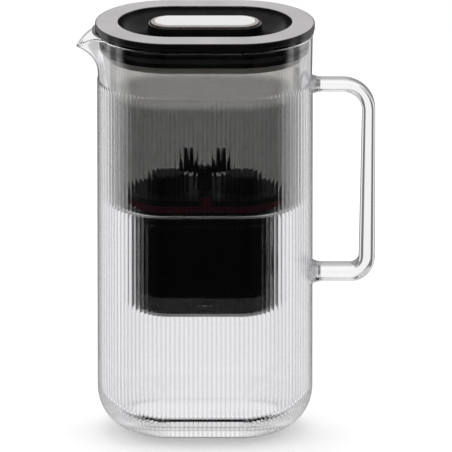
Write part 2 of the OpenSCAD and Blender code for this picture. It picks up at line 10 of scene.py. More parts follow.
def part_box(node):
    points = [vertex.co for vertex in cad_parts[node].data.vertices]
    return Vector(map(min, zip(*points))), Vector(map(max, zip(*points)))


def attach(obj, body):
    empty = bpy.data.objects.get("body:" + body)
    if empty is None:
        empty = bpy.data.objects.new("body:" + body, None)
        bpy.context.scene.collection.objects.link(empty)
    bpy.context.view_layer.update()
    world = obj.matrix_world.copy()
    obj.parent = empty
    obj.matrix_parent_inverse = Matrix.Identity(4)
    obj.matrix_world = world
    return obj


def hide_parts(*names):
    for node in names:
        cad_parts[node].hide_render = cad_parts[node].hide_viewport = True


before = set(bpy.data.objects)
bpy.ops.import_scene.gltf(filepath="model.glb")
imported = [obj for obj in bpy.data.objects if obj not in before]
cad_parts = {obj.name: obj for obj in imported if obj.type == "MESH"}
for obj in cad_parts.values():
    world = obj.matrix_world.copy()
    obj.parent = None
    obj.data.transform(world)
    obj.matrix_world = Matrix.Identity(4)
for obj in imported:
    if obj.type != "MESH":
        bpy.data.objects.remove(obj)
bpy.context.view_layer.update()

bl_info = {
    "name": "Water filter pitcher",
    "version": (1, 0, 0),
    "blender": (4, 5, 0),
    "location": "View3D > Sidebar > Pitcher",
    "description": "Builds the glass, plastic and metal of a water filter pitcher round its frame",
    "category": "Add Mesh",
}

MM = 0.001


def top(node):
    """Highest point of a node."""
    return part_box(node)[1].z


def foot(node):
    """Lowest point of a node."""
    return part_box(node)[0].z


def end_radius(node):
    """End radius of an oval node."""
    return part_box(node)[1].y


JUG_LOW, JUG_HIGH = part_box("glass_body")
HALF_STRAIGHT = JUG_HIGH.x - JUG_HIGH.y
BODY_R = JUG_HIGH.y
JUG_H = JUG_HIGH.z
HANDLE_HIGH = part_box("glass_handle")[1]


def length(name, description, default):
    """Length property in metres."""
    return bpy.props.FloatProperty(
        name=name, description=description, default=default, unit="LENGTH", precision=5)


def count(name, description, default):
    """Whole number property."""
    return bpy.props.IntProperty(name=name, description=description, default=default, min=1)


def share(name, description, default):
    """Property between nought and one."""
    return bpy.props.FloatProperty(name=name, description=description, default=default, min=0, max=1)


def colour(name, description, default):
    """Colour property in linear light."""
    return bpy.props.FloatVectorProperty(
        name=name, description=description, default=default, subtype="COLOR", size=3, min=0, max=1)


# Settings

class JugSizes(bpy.types.PropertyGroup):
    """Sizes of the glass jug."""

    wall: length("Wall", "Thickness of the glass wall", 2.5 * MM)
    floor: length("Floor", "Thickness of the glass floor", 12 * MM)
    base_round: length("Base rounding", "Outside rounding of the base", 30 * MM)
    inner_round: length("Inside rounding", "Rounding between wall and floor", 20 * MM)
    base_grind: length("Ground base", "Depth ground off the base", 0.3 * MM)
    ribs_end: count("Ribs on an end", "Ribs round each end", 51)
    ribs_side: count("Ribs on a side", "Ribs along each straight side", 15)
    rib_depth: length("Rib depth", "Depth of the grooves between ribs", 0.15 * MM)
    plain_band: length("Plain band", "Band between the rib tops and the rim", 33 * MM)
    rib_runout: length("Rib run-out", "Height of the round end of each rib", 2.6 * MM)
    band_inset: length("Band inset", "How far the plain band lies behind the ribs' crests", 0.55 * MM)
    lip_drop: length("Lip drop", "Dip of the rim at the tip of the lip", 8.5 * MM)
    lip_half_width: length("Lip half width", "Half width of the wall drawn into the lip", 24 * MM)


class HandleSizes(bpy.types.PropertyGroup):
    """Sizes of the glass handle."""

    drop: length("Drop", "Rim to the middle of the upper arm", 35.5 * MM)
    spread: length("Arm spacing", "Distance between the two arms", 127.5 * MM)
    rod_thick: length("Rod thickness", "Thickness of the rod at the upper arm", 8.3 * MM)
    rod_wide: length("Rod width", "Width of the rod at the upper arm", 12.6 * MM)
    growth: share("Growth", "Growth of the rod towards the lower arm", 0.3)
    upper_bend: length("Upper bend", "Centre line radius of the upper corner", 17 * MM)
    lower_bend: length("Lower bend", "Centre line radius of the lower corner", 11 * MM)
    lean: length("Lean", "Lean of the grip bar at its foot", 1.3 * MM)
    weld: length("Weld", "Length of the flared weld", 8 * MM)
    flare: share("Flare", "Flare of the rod at the weld", 0.32)


class FunnelSizes(bpy.types.PropertyGroup):
    """Sizes of the smoked funnel."""

    wall: length("Wall", "Wall thickness of the hopper", 1.8 * MM)
    depth: length("Depth", "Depth of the hopper below the rim", 116 * MM)
    taper: length("Taper", "Narrowing of the hopper below the collar", 2.6 * MM)
    taper_h: length("Taper height", "Height of the tapered stretch", 27 * MM)
    rounding: length("Rounding", "Rounding of the hopper's lower edge", 5 * MM)
    well_r: length("Well radius", "End radius of the cartridge well", 25.5 * MM)
    well_round: length("Well rounding", "Rounding of the well's lower edge", 6 * MM)
    socket_h: length("Socket height", "Height of the thicker socket of the well", 9 * MM)
    socket_step: length("Socket step", "Extra thickness of the socket", 1 * MM)
    neck_round: length("Neck rounding", "Rounding where the taper meets the straight wall", 2 * MM)
    edge: length("Edge", "Rounding of the edges round the well's mouth", 0.5 * MM)
    outlet: length("Outlet", "Radius of the outlet in the well floor", 4.5 * MM)


class LidSizes(bpy.types.PropertyGroup):
    """Sizes of the lid and its indicator."""

    seat_gap: length("Seat gap", "Gap under a piece that rests on another", 0.3 * MM)
    bond_gap: length("Bond gap", "Gap between bonded pieces", 0.1 * MM)
    press_gap: length("Press gap", "Gap round the press cap", 0.35 * MM)
    ring_w: length("Ring width", "Width of the satin ring", 14.1 * MM)
    ring_t: length("Ring thickness", "Thickness of the satin ring", 0.8 * MM)
    ring_rise: length("Ring rise", "Rise of the ring to its inner edge", 0.5 * MM)
    bowl_depth: length("Bowl depth", "Depth of the grip bowl", 13 * MM)
    shell_t: length("Shell", "Thickness of the lid shell", 1.8 * MM)
    rim_wall: length("Rim wall", "Thickness of the lid's side", 2.2 * MM)
    edge: length("Edge", "Rounding of the lid's edges", 0.6 * MM)
    pedestal_wall: length("Pedestal wall", "Wall of the pedestal round its pocket", 1.4 * MM)
    pedestal_draft: length("Pedestal draft", "Spread of the pedestal at its foot", 1 * MM)
    pedestal_sunk: length("Pedestal depth", "Depth of the pedestal's top below the ring", 1 * MM)
    pill_r: length("Press cap radius", "End radius of the press cap", 10.4 * MM)
    pill_round: length("Press cap rounding", "Rounding of the press cap's edge", 0.7 * MM)
    bezel_wall: length("Bezel wall", "Wall of the bezel below its lip", 0.85 * MM)
    bezel_lip: length("Bezel lip", "Height of the bezel's lip", 1 * MM)
    bezel_round: length("Bezel rounding", "Rounding of the bezel's outer edge", 0.5 * MM)
    bezel_edge: length("Bezel edge", "Rounding of the bezel's inner edge", 0.12 * MM)
    flange_t: length("Flange", "Thickness of the press cap's flange", 0.8 * MM)
    fine_edge: length("Fine edge", "Rounding of the ring's and the pedestal's edges", 0.25 * MM)


class Finishes(bpy.types.PropertyGroup):
    """Colours of the pitcher's finishes."""

    glass: colour("Glass", "Tint of the clear glass", (0.958, 0.956, 0.968))
    glass_edge: colour("Glass edge", "Tint of the jug's glass seen edge on", (0.7, 0.7, 0.72))
    # Painted shade: the handle's glass darkens towards black where it is seen edge on, standing in for the
    # dark that its edges refract
    rod_edge_shade: colour("Rod edge", "Tint of the handle's glass seen edge on", (0.05, 0.05, 0.06))
    # Painted shade: the jug's glass is greyer in the grooves between ribs, standing in for the dark that the
    # ribs refract
    groove: colour("Groove", "Tint of the jug's glass in the grooves between ribs", (0.78, 0.78, 0.79))
    smoke_high: colour("Smoke, high", "Tint of the funnel near its collar", (0.76, 0.75, 0.72))
    smoke_well: colour("Smoke, well", "Tint of the cartridge well", (0.15, 0.15, 0.147))
    smoke_low: colour("Smoke, low", "Tint of the funnel lower down", (0.37, 0.37, 0.36))
    smoke_edge: colour("Smoke, edge", "Tint of the funnel's wall seen edge on", (0.75, 0.75, 0.73))
    black: colour("Black moulding", "Lid and collar", (0.002, 0.0018, 0.002))
    cartridge: colour("Cartridge", "Cup and cap of the cartridge", (0.006, 0.006, 0.006))
    burgundy: colour("Burgundy", "Silicone seal of the cartridge", (0.28, 0.012, 0.055))
    ring: colour("Satin ring", "Brushed ring of the lid", (0.56, 0.54, 0.555))
    bezel: colour("Bezel", "Dark metal round the press cap", (0.42, 0.375, 0.36))
    cap: colour("Press cap", "White press cap", (0.66, 0.66, 0.655))
    plug: colour("Lid plug", "Pale plug under the lid", (0.5, 0.495, 0.465))
    silicone: colour("Dark silicone", "Rings of the collar, the lid and the tub", (0.006, 0.006, 0.006))


class StageSizes(bpy.types.PropertyGroup):
    """Camera and floor of the studio."""

    elevation: bpy.props.FloatProperty(
        name="Elevation", description="Height of the camera over the horizon", default=math.radians(17.7),
        subtype="ANGLE")
    distance: length("Distance", "Distance of the camera", 13.5)
    view_width: length("View width", "Width of the picture at the object", 0.2938)
    aim: bpy.props.FloatVectorProperty(
        name="Aim", description="Point in the middle of the picture", default=(0.01365, 0.0, 0.1378),
        subtype="TRANSLATION", unit="LENGTH")
    floor_radius: length("Floor", "Radius of the pale floor", 0.8)


# Shapes

def verts_in(geometry):
    """Vertices among the geometry that an operator gives back."""
    return [g for g in geometry if isinstance(g, bmesh.types.BMVert)]


def oval_ring(bm, radius, height, per_end, per_side):
    """One oval ring of edges, made by turning and sliding a point; gives its columns in order."""
    last = [bm.verts.new((HALF_STRAIGHT, -radius, height))]
    slide = 2 * HALF_STRAIGHT / per_side
    for side in (1, -1):
        centre = (side * HALF_STRAIGHT, 0, height)
        turned = bmesh.ops.spin(
            bm, geom=last, cent=centre, axis=(0, 0, 1), angle=math.pi, steps=per_end)
        last = verts_in(turned["geom_last"])
        moved = bmesh.ops.spin(
            bm, geom=last, axis=(0, 0, 1), dvec=(-side * slide, 0, 0), angle=0, steps=per_side)
        last = verts_in(moved["geom_last"])
    bmesh.ops.remove_doubles(bm, verts=bm.verts[:], dist=1e-6)
    layer = bm.verts.layers.int.new("column")
    columns = []
    for number, vert in enumerate(bm.verts):
        vert[layer] = number
        centre = max(-HALF_STRAIGHT, min(HALF_STRAIGHT, vert.co.x))
        columns.append((centre, (vert.co.x - centre) / radius, vert.co.y / radius))
    return columns


def extrude_ring(bm, ring, place):
    """Extrudes a ring of edges and puts each new vertex where place says for its column."""
    layer = bm.verts.layers.int["column"]
    made = bmesh.ops.extrude_edge_only(bm, edges=ring)["geom"]
    verts = set(verts_in(made))
    for vert in verts:
        vert.co = place(vert[layer])
    return [g for g in made if isinstance(g, bmesh.types.BMEdge) and verts.issuperset(g.verts)]


def oval_point(column, radius, height, straight=1.0):
    """Point of a column on an oval of that end radius and share of the straight length."""
    centre, across, along = column
    return Vector((straight * centre + radius * across, radius * along, height))


def loft_oval(rows, closed, per_end=72, per_side=8):
    """Sweeps rows of radius, height and edge rounding round the oval; a row's fourth value is its
    share of the straight length. A closed sweep joins its last row to its first, and an open one
    gets a flat face on each end."""
    bm = bmesh.new()
    columns = oval_ring(bm, rows[0][0], rows[0][1], per_end, per_side)
    rings = [bm.edges[:]]
    for row in rows[1:]:
        straight = row[3] if len(row) > 3 else 1.0
        rings.append(extrude_ring(
            bm, rings[-1], lambda number: oval_point(columns[number], row[0], row[1], straight)))
    if closed:
        bmesh.ops.bridge_loops(bm, edges=rings[0] + rings[-1])
    else:
        bmesh.ops.edgeloop_fill(bm, edges=rings[0])
        bmesh.ops.edgeloop_fill(bm, edges=rings[-1])
    for size in sorted({row[2] for row in rows if row[2] > 0}):
        edges = [e for ring, row in zip(rings, rows) if row[2] == size for e in ring]
        bmesh.ops.bevel(bm, geom=edges, offset=size, offset_type="OFFSET", segments=4, profile=0.5,
                        affect="EDGES", material=-1)
    bmesh.ops.remove_doubles(bm, verts=bm.verts[:], dist=1e-7)
    bmesh.ops.recalc_face_normals(bm, faces=bm.faces[:])
    return bm


def arc_rows(centre, radius, start, end, steps):
    """Rows along an arc from one angle to another, in degrees."""
    rows = []
    for step in range(steps + 1):
        angle = math.radians(start + (end - start) * step / steps)
        rows.append((centre[0] + radius * math.cos(angle), centre[1] + radius * math.sin(angle), 0))
    return rows


def add_object(name, data):
    """New object in the scene."""
    made = bpy.data.objects.new(name, data)
    bpy.context.scene.collection.objects.link(made)
    return made


def finish_piece(bm, name, material, body, slot, *nodes, sharp=40, weighted=True):
    """Turns a bmesh into a smooth piece that rides on a body and stands for CAD nodes."""
    mesh = bpy.data.meshes.new(name)
    for face in bm.faces:
        face.smooth = True
    bm.to_mesh(mesh)
    bm.free()
    mesh.set_sharp_from_angle(angle=math.radians(sharp))
    mesh.materials.append(material)
    piece = add_object(name, mesh)
    if weighted:
        piece.modifiers.new("even_normals", "WEIGHTED_NORMAL").keep_sharp = True
    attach(piece, body)
    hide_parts(*nodes)


def dress(material, *nodes):
    """Gives CAD nodes a finish."""
    for name in nodes:
        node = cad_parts[name]
        node.data.materials.clear()
        node.data.materials.append(material)


# Materials

def add_node(tree, kind, links=(), **values):
    """New shader node with links from (socket, input) pairs; values go to the sockets of those
    names, and values whose names start with set_ to the node's own settings."""
    node = tree.nodes.new(kind)
    for name, value in values.items():
        if name.startswith("set_"):
            setattr(node, name[4:], value)
    for socket, target in links:
        tree.links.new(socket, node.inputs[target])
    for name, value in values.items():
        if not name.startswith("set_"):
            node.inputs[name.replace("_", " ")].default_value = value
    return node


def maths(tree, operation, first, second=0.0, third=0.0):
    """Math node whose inputs are sockets or numbers; gives its output."""
    node = tree.nodes.new("ShaderNodeMath")
    node.operation = operation
    for socket, value in zip(node.inputs, (first, second, third)):
        if isinstance(value, (int, float)):
            socket.default_value = value
        else:
            tree.links.new(value, socket)
    return node.outputs[0]


def ramp(tree, value, low, high, out_low=0.0, out_high=1.0, smooth=True):
    """Map Range node from low..high to out_low..out_high; gives its output."""
    node = tree.nodes.new("ShaderNodeMapRange")
    node.interpolation_type = "SMOOTHSTEP" if smooth else "LINEAR"
    for socket, number in zip(node.inputs[1:5], (low, high, out_low, out_high)):
        socket.default_value = number
    tree.links.new(value, node.inputs[0])
    return node.outputs[0]


def blend(tree, factor, first, second, kind="MIX"):
    """Mix of two colours, each a socket or three numbers, by a factor socket; gives its output."""
    node = tree.nodes.new("ShaderNodeMix")
    node.data_type = "RGBA"
    node.blend_type = kind
    tree.links.new(factor, node.inputs["Factor"])
    for name, value in (("A", first), ("B", second)):
        if isinstance(value, bpy.types.NodeSocket):
            tree.links.new(value, node.inputs[name])
        else:
            node.inputs[name].default_value = (*value, 1.0)
    return node.outputs["Result"]


def shades(base, dark, pale):
    """A darker and a paler shade of a colour."""
    return [dark * c for c in base], [min(1.0, pale * c) for c in base]


def new_group(name, inputs, outputs):
    """Empty shader node group with float sockets; gives the tree and its two end nodes."""
    tree = bpy.data.node_groups.new(name, "ShaderNodeTree")
    for socket, default in inputs:
        made = tree.interface.new_socket(name=socket, in_out="INPUT", socket_type="NodeSocketFloat")
        made.default_value = default
    for socket in outputs:
        tree.interface.new_socket(name=socket, in_out="OUTPUT", socket_type="NodeSocketFloat")
    return tree, tree.nodes.new("NodeGroupInput"), tree.nodes.new("NodeGroupOutput")


def feed(tree, node, **sockets):
    """Links sockets to the node's inputs of those names."""
    for name, socket in sockets.items():
        tree.links.new(socket, node.inputs[name.replace("_", " ")])


def object_place(tree):
    """Object coordinates of the surface."""
    return add_node(tree, "ShaderNodeTexCoord").outputs["Object"]


def moulded_grain():
    """Fine grain of moulded plastic: a height and a roughness that vary over the surface."""
    tree = bpy.data.node_groups.get("moulded_grain")
    if tree:
        return tree
    tree, start, end = new_group(
        "moulded_grain", [("Scale", 1.0), ("Low", 0.3), ("High", 0.4)], ["Height", "Roughness"])
    place = object_place(tree)

    def grain(per_metre, detail):
        scale = maths(tree, "MULTIPLY", start.outputs["Scale"], per_metre)
        links = [(place, "Vector"), (scale, "Scale")]
        return add_node(tree, "ShaderNodeTexNoise", links, Detail=detail).outputs[0]

    fine = grain(per_metre=2600.0, detail=3.0)
    even = ramp(tree, grain(per_metre=55.0, detail=4.0), low=0.35, high=0.65)
    spread = maths(tree, "SUBTRACT", start.outputs["High"], start.outputs["Low"])
    rough = maths(tree, "MULTIPLY_ADD", even, spread, start.outputs["Low"])
    feed(tree, end, Height=fine, Roughness=rough)
    return tree


def oval_place():
    """Distance from the oval's middle line, and the angle round its centre."""
    tree = bpy.data.node_groups.get("oval_place")
    if tree:
        return tree
    tree, start, end = new_group("oval_place", [("Half straight", HALF_STRAIGHT)], ["Radius", "Angle"])
    axes = add_node(tree, "ShaderNodeSeparateXYZ", [(object_place(tree), "Vector")]).outputs
    far = maths(tree, "SUBTRACT", maths(tree, "ABSOLUTE", axes[0]), start.outputs[0])
    across = maths(tree, "MAXIMUM", far, 0.0)
    square = maths(tree, "ADD", maths(tree, "POWER", across, 2.0), maths(tree, "POWER", axes[1], 2.0))
    angle = maths(tree, "ARCTAN2", axes[1], axes[0])
    feed(tree, end, Radius=maths(tree, "SQRT", square), Angle=angle)
    return tree


def brushed_lines():
    """Fine lines brushed round the oval: a height, a mask, and a painted sheen that changes slowly."""
    tree = bpy.data.node_groups.get("brushed_lines")
    if tree:
        return tree
    tree, start, end = new_group(
        "brushed_lines", [("Lines per metre", 5200.0)], ["Height", "Mask", "Sheen"])
    oval = add_node(tree, "ShaderNodeGroup", set_node_tree=oval_place())
    lines = maths(tree, "MULTIPLY", oval.outputs["Radius"], start.outputs[0])

    def streaks(detail, links):
        place = add_node(tree, "ShaderNodeCombineXYZ", links).outputs[0]
        return add_node(tree, "ShaderNodeTexNoise", [(place, "Vector")], Scale=1.0, Detail=detail).outputs[0]

    def turns(per_radian):
        return maths(tree, "MULTIPLY", oval.outputs["Angle"], per_radian)

    fine = streaks(2.0, [(lines, "X"), (turns(per_radian=7.0), "Y")])
    # Painted sheen: slow random change of tone round the oval, standing in for the uneven reflection of the
    # brushing
    slow = streaks(1.0, [(turns(per_radian=1.6), "X")])
    mask = ramp(tree, fine, low=0.3, high=0.7)
    feed(tree, end, Height=fine, Mask=mask, Sheen=ramp(tree, slow, low=0.3, high=0.7))
    return tree


def new_material(name, **values):
    """Material with one Principled shader whose plain sockets are set by name."""
    material = bpy.data.materials.new(name)
    material.use_nodes = True
    tree = material.node_tree
    shader = tree.nodes["Principled BSDF"]
    for socket, value in values.items():
        shader.inputs[socket.replace("_", " ")].default_value = value
    return material, tree, shader


def bump(tree, height, distance, strength=1.0):
    """Normal made from a height; distance is in metres."""
    return add_node(
        tree, "ShaderNodeBump", [(height, "Height")], Strength=strength, Distance=distance).outputs[0]


def moulded(name, base, low, high, depth, scale=1.0, **values):
    """Moulded plastic, silicone or small metal pieces with a fine grain and uneven gloss."""
    material, tree, shader = new_material(name, **values)
    grain = add_node(
        tree, "ShaderNodeGroup", set_node_tree=moulded_grain(), Scale=scale, Low=low, High=high)
    height = grain.outputs["Height"]
    tint = blend(tree, height, *shades(base, dark=0.82, pale=1.12))
    normal = bump(tree, height, depth)
    feed(tree, shader, Base_Color=tint, Roughness=grain.outputs["Roughness"], Normal=normal)
    return material


def clear_glass(name, tint, edge, start, end):
    """Clear blown glass with faint waves in its surface. Its tint turns to the edge tint between
    a start and an end of facing away from the eye; on the handle that edge tint is painted shade."""
    material, tree, shader = new_material(name, Roughness=0.0, IOR=1.47, Transmission_Weight=1.0)
    place = object_place(tree)
    wave = add_node(tree, "ShaderNodeTexNoise", [(place, "Vector")], Scale=38.0, Detail=1.5)
    waves = bump(tree, wave.outputs[0], distance=0.03 * MM, strength=0.35)
    facing = add_node(tree, "ShaderNodeLayerWeight").outputs["Facing"]
    edge_on = ramp(tree, facing, start, end)
    feed(tree, shader, Base_Color=blend(tree, edge_on, tint, edge), Normal=waves)
    return material


def shade_grooves(material, tint):
    """Painted shade: greyer glass in the grooves between ribs, from the piece's groove attribute,
    where the wall is seen from outside."""
    tree = material.node_tree
    base = tree.nodes["Principled BSDF"].inputs["Base Color"]
    depth = add_node(tree, "ShaderNodeAttribute", set_attribute_name="groove").outputs["Fac"]
    inside = add_node(tree, "ShaderNodeNewGeometry").outputs["Backfacing"]
    outside = maths(tree, "SUBTRACT", 1.0, inside)
    mask = maths(tree, "MULTIPLY", ramp(tree, depth, low=0.05, high=0.6), outside)
    # Multiplies the painted groove shade into the glass's own tint
    tree.links.new(blend(tree, mask, base.links[0].from_socket, tint, "MULTIPLY"), base)


def smoked_plastic(tints, steps, edge):
    """Smoked clear plastic whose tint changes with height: tints from low to high, and the
    heights between which each changes to the next. Above the first it turns to the edge tint
    where it is seen edge on."""
    material, tree, shader = new_material("smoked_plastic", IOR=1.5, Transmission_Weight=1.0)
    height = add_node(tree, "ShaderNodeSeparateXYZ", [(object_place(tree), "Vector")]).outputs["Z"]
    passed = [ramp(tree, height, *step) for step in steps]
    tint = tints[0]
    for part, higher in zip(passed, tints[1:]):
        tint = blend(tree, part, tint, higher)
    facing = add_node(tree, "ShaderNodeLayerWeight").outputs["Facing"]
    edge_on = maths(tree, "MULTIPLY", ramp(tree, facing, low=0.22, high=0.5), passed[0])
    grain = add_node(
        tree, "ShaderNodeGroup", set_node_tree=moulded_grain(), Scale=0.4, Low=0.0, High=0.012)
    tint = blend(tree, edge_on, tint, edge)
    feed(tree, shader, Base_Color=tint, Roughness=grain.outputs["Roughness"])
    return material


def brushed_metal(name, base, low, high, depth):
    """Satin metal brushed round the oval, its tone lightened and darkened slowly round the oval by a painted
    sheen.
    """
    material, tree, shader = new_material(name, Metallic=1.0)
    lines = add_node(tree, "ShaderNodeGroup", set_node_tree=brushed_lines())
    mask = lines.outputs["Mask"]
    # Share of the tone given to the painted sheen
    painted_sheen_share = 0.6
    painted_sheen = maths(tree, "MULTIPLY", lines.outputs["Sheen"], painted_sheen_share)
    tone = maths(tree, "MULTIPLY_ADD", mask, 1 - painted_sheen_share, painted_sheen)
    tint = blend(tree, tone, *shades(base, dark=0.86, pale=1.08))
    rough = ramp(tree, mask, 0, 1, low, high)
    feed(tree, shader, Base_Color=tint, Roughness=rough, Normal=bump(tree, lines.outputs["Height"], depth))
    return material


def grain_bed(name, dark, pale, scale):
    """Packed grains or felted fibres: cells of two tones with a bumpy surface."""
    material, tree, shader = new_material(name, Roughness=0.85)
    place = object_place(tree)
    cells = add_node(tree, "ShaderNodeTexVoronoi", [(place, "Vector")], Scale=scale)
    tone = add_node(tree, "ShaderNodeTexNoise", [(place, "Vector")], Scale=scale * 0.6, Detail=3.0)
    patches = ramp(tree, tone.outputs[0], low=0.4, high=0.62)
    bumps = bump(tree, cells.outputs["Distance"], distance=0.3 * MM)
    feed(tree, shader, Base_Color=blend(tree, patches, dark, pale), Normal=bumps)
    return material


# Pieces and studio

class PITCHER_OT_glass_jug(bpy.types.Operator):
    """Ribbed glass wall with a rounded base, an inner floor and a drawn lip"""

    bl_idname = "pitcher.glass_jug"
    bl_label = "Glass jug"

    # Steps of the mesh
    per_rib = 8
    base_steps = 14
    band_steps = 14
    rim_steps = 6
    # Power that keeps the valleys narrow, and depth of the base's grooves against the wall's
    groove_curve = 3.5
    base_groove = 1.8
    # Share by which a rib's end is lower at its sides, and the power of that arch
    arch = 0.8
    arch_curve = 1.5
    # Powers of the lip's reach, of the rim's dip along it, and of the rows gathered at the rim
    lip_curve = 3.2
    dip_curve = 2.2
    rise_curve = 1.6

    def lobe(self, column, sizes):
        """Depth of the groove at a column: none on a rib's crest, one in the valley."""
        centre, across, along = column
        if abs(centre) < HALF_STRAIGHT - 1e-7:
            phase = (centre / HALF_STRAIGHT + 1) / 2 * sizes.ribs_side
        else:
            phase = (math.atan2(along, abs(across)) / math.pi + 0.5) * sizes.ribs_end
        return abs(2 * (phase - math.floor(phase + 1e-6)) - 1) ** self.groove_curve

    def lip_share(self, column, sizes):
        """Share of the lip's reach at a column: one at the tip, none past the half width."""
        y = abs(BODY_R * column[2])
        if column[1] >= 0 or y >= sizes.lip_half_width:
            return 0.0
        return math.cos(math.pi / 2 * y / sizes.lip_half_width) ** 2

    def band_point(self, column, sizes, radius, rise, sink):
        """Point of the plain band at a share of its height, drawn out into the lip."""
        pull = self.lip_share(column, sizes)
        plain_z = JUG_H - sizes.plain_band + sizes.rib_runout
        crest = JUG_H - sizes.lip_drop * pull ** self.dip_curve - sink
        reach = -JUG_LOW.x - HALF_STRAIGHT - BODY_R
        point = oval_point(column, radius, plain_z + rise * (crest - plain_z))
        point.x -= reach * pull * rise ** self.lip_curve
        return point

    def execute(self, context):
        sizes = context.scene.pitcher_jug
        bm = bmesh.new()
        per_end = sizes.ribs_end * self.per_rib
        per_side = sizes.ribs_side * self.per_rib
        ground = math.acos(1 - sizes.base_grind / sizes.base_round)
        first_r = BODY_R - sizes.base_round * (1 - math.sin(ground))
        columns = oval_ring(bm, first_r, 0.0, per_end, per_side)
        grooves = [self.lobe(c, sizes) for c in columns]
        # The groove attribute holds how much painted groove shade each vertex gets
        groove_shade_mark = bm.verts.layers.float.new("groove")
        column_mark = bm.verts.layers.int["column"]
        inner_r = BODY_R - sizes.wall
        band_r = BODY_R - sizes.band_inset
        rib_top = JUG_H - sizes.plain_band
        rises = [1 - (1 - k / self.band_steps) ** self.rise_curve for k in range(self.band_steps + 1)]
        ring = bm.edges[:]
        bmesh.ops.edgeloop_fill(bm, edges=ring)

        def ribbed(radius, height, depth):
            cut = sizes.rib_depth * depth
            return lambda n: oval_point(columns[n], radius - cut * grooves[n], height)

        def rib_end(turn):
            def place(n):
                crest = BODY_R - sizes.rib_depth * grooves[n]
                lower = self.arch * grooves[n] ** (self.arch_curve / self.groove_curve)
                rise = sizes.rib_runout * (1 - lower) * math.sin(turn)
                inward = (crest - band_r) * (1 - math.cos(turn))
                return oval_point(columns[n], crest - inward, rib_top + rise)
            return place

        # Painted groove shade on a ring: the scaled groove depth on the ribbed wall and rib ends, none from
        # the plain band on
        def mark_groove_shade(ring, depth):
            for vert in {v for edge in ring for v in edge.verts}:
                vert[groove_shade_mark] = depth * grooves[vert[column_mark]]

        for step in range(1, self.base_steps + 1):
            angle = ground + (math.pi / 2 - ground) * step / self.base_steps
            radius = BODY_R - sizes.base_round * (1 - math.sin(angle))
            height = sizes.base_round * (1 - math.cos(angle)) - sizes.base_grind
            depth = 1 + (self.base_groove - 1) * math.sin(math.pi * step / self.base_steps)
            ring = extrude_ring(bm, ring, ribbed(radius, height, depth))
            mark_groove_shade(ring, depth)
        for step in range(self.per_rib + 1):
            turn = math.pi / 2 * step / self.per_rib
            ring = extrude_ring(bm, ring, rib_end(turn))
            mark_groove_shade(ring, 0.0 if step == self.per_rib else 1.0)
        bead = sizes.wall / 2
        for rise in rises:
            radius = band_r + rise * sizes.band_inset
            ring = extrude_ring(
                bm, ring, lambda n: self.band_point(columns[n], sizes, radius, rise, bead))
        for step in range(1, self.rim_steps):
            angle = math.pi * step / self.rim_steps
            radius = BODY_R - bead * (1 - math.cos(angle))
            sink = bead * (1 - math.sin(angle))
            ring = extrude_ring(
                bm, ring, lambda n: self.band_point(columns[n], sizes, radius, 1.0, sink))
        for rise in reversed(rises):
            ring = extrude_ring(
                bm, ring, lambda n: self.band_point(columns[n], sizes, inner_r, rise, bead))
        for step in range(self.base_steps + 1):
            angle = math.pi / 2 * (1 - step / self.base_steps)
            radius = inner_r - sizes.inner_round * (1 - math.sin(angle))
            height = sizes.floor + sizes.inner_round * (1 - math.cos(angle))
            ring = extrude_ring(bm, ring, lambda n: oval_point(columns[n], radius, height))
        bmesh.ops.edgeloop_fill(bm, edges=ring)
        bmesh.ops.recalc_face_normals(bm, faces=bm.faces[:])
        finish = context.scene.pitcher_finish
        glass = clear_glass("wall_glass", finish.glass, finish.glass_edge, start=0.5, end=1.0)
        # Painted shade in the grooves between ribs
        shade_grooves(glass, finish.groove)
        finish_piece(
            bm, "jug_glass", glass, "jug", "clear_glass", "glass_body", sharp=50, weighted=False)
        return {"FINISHED"}


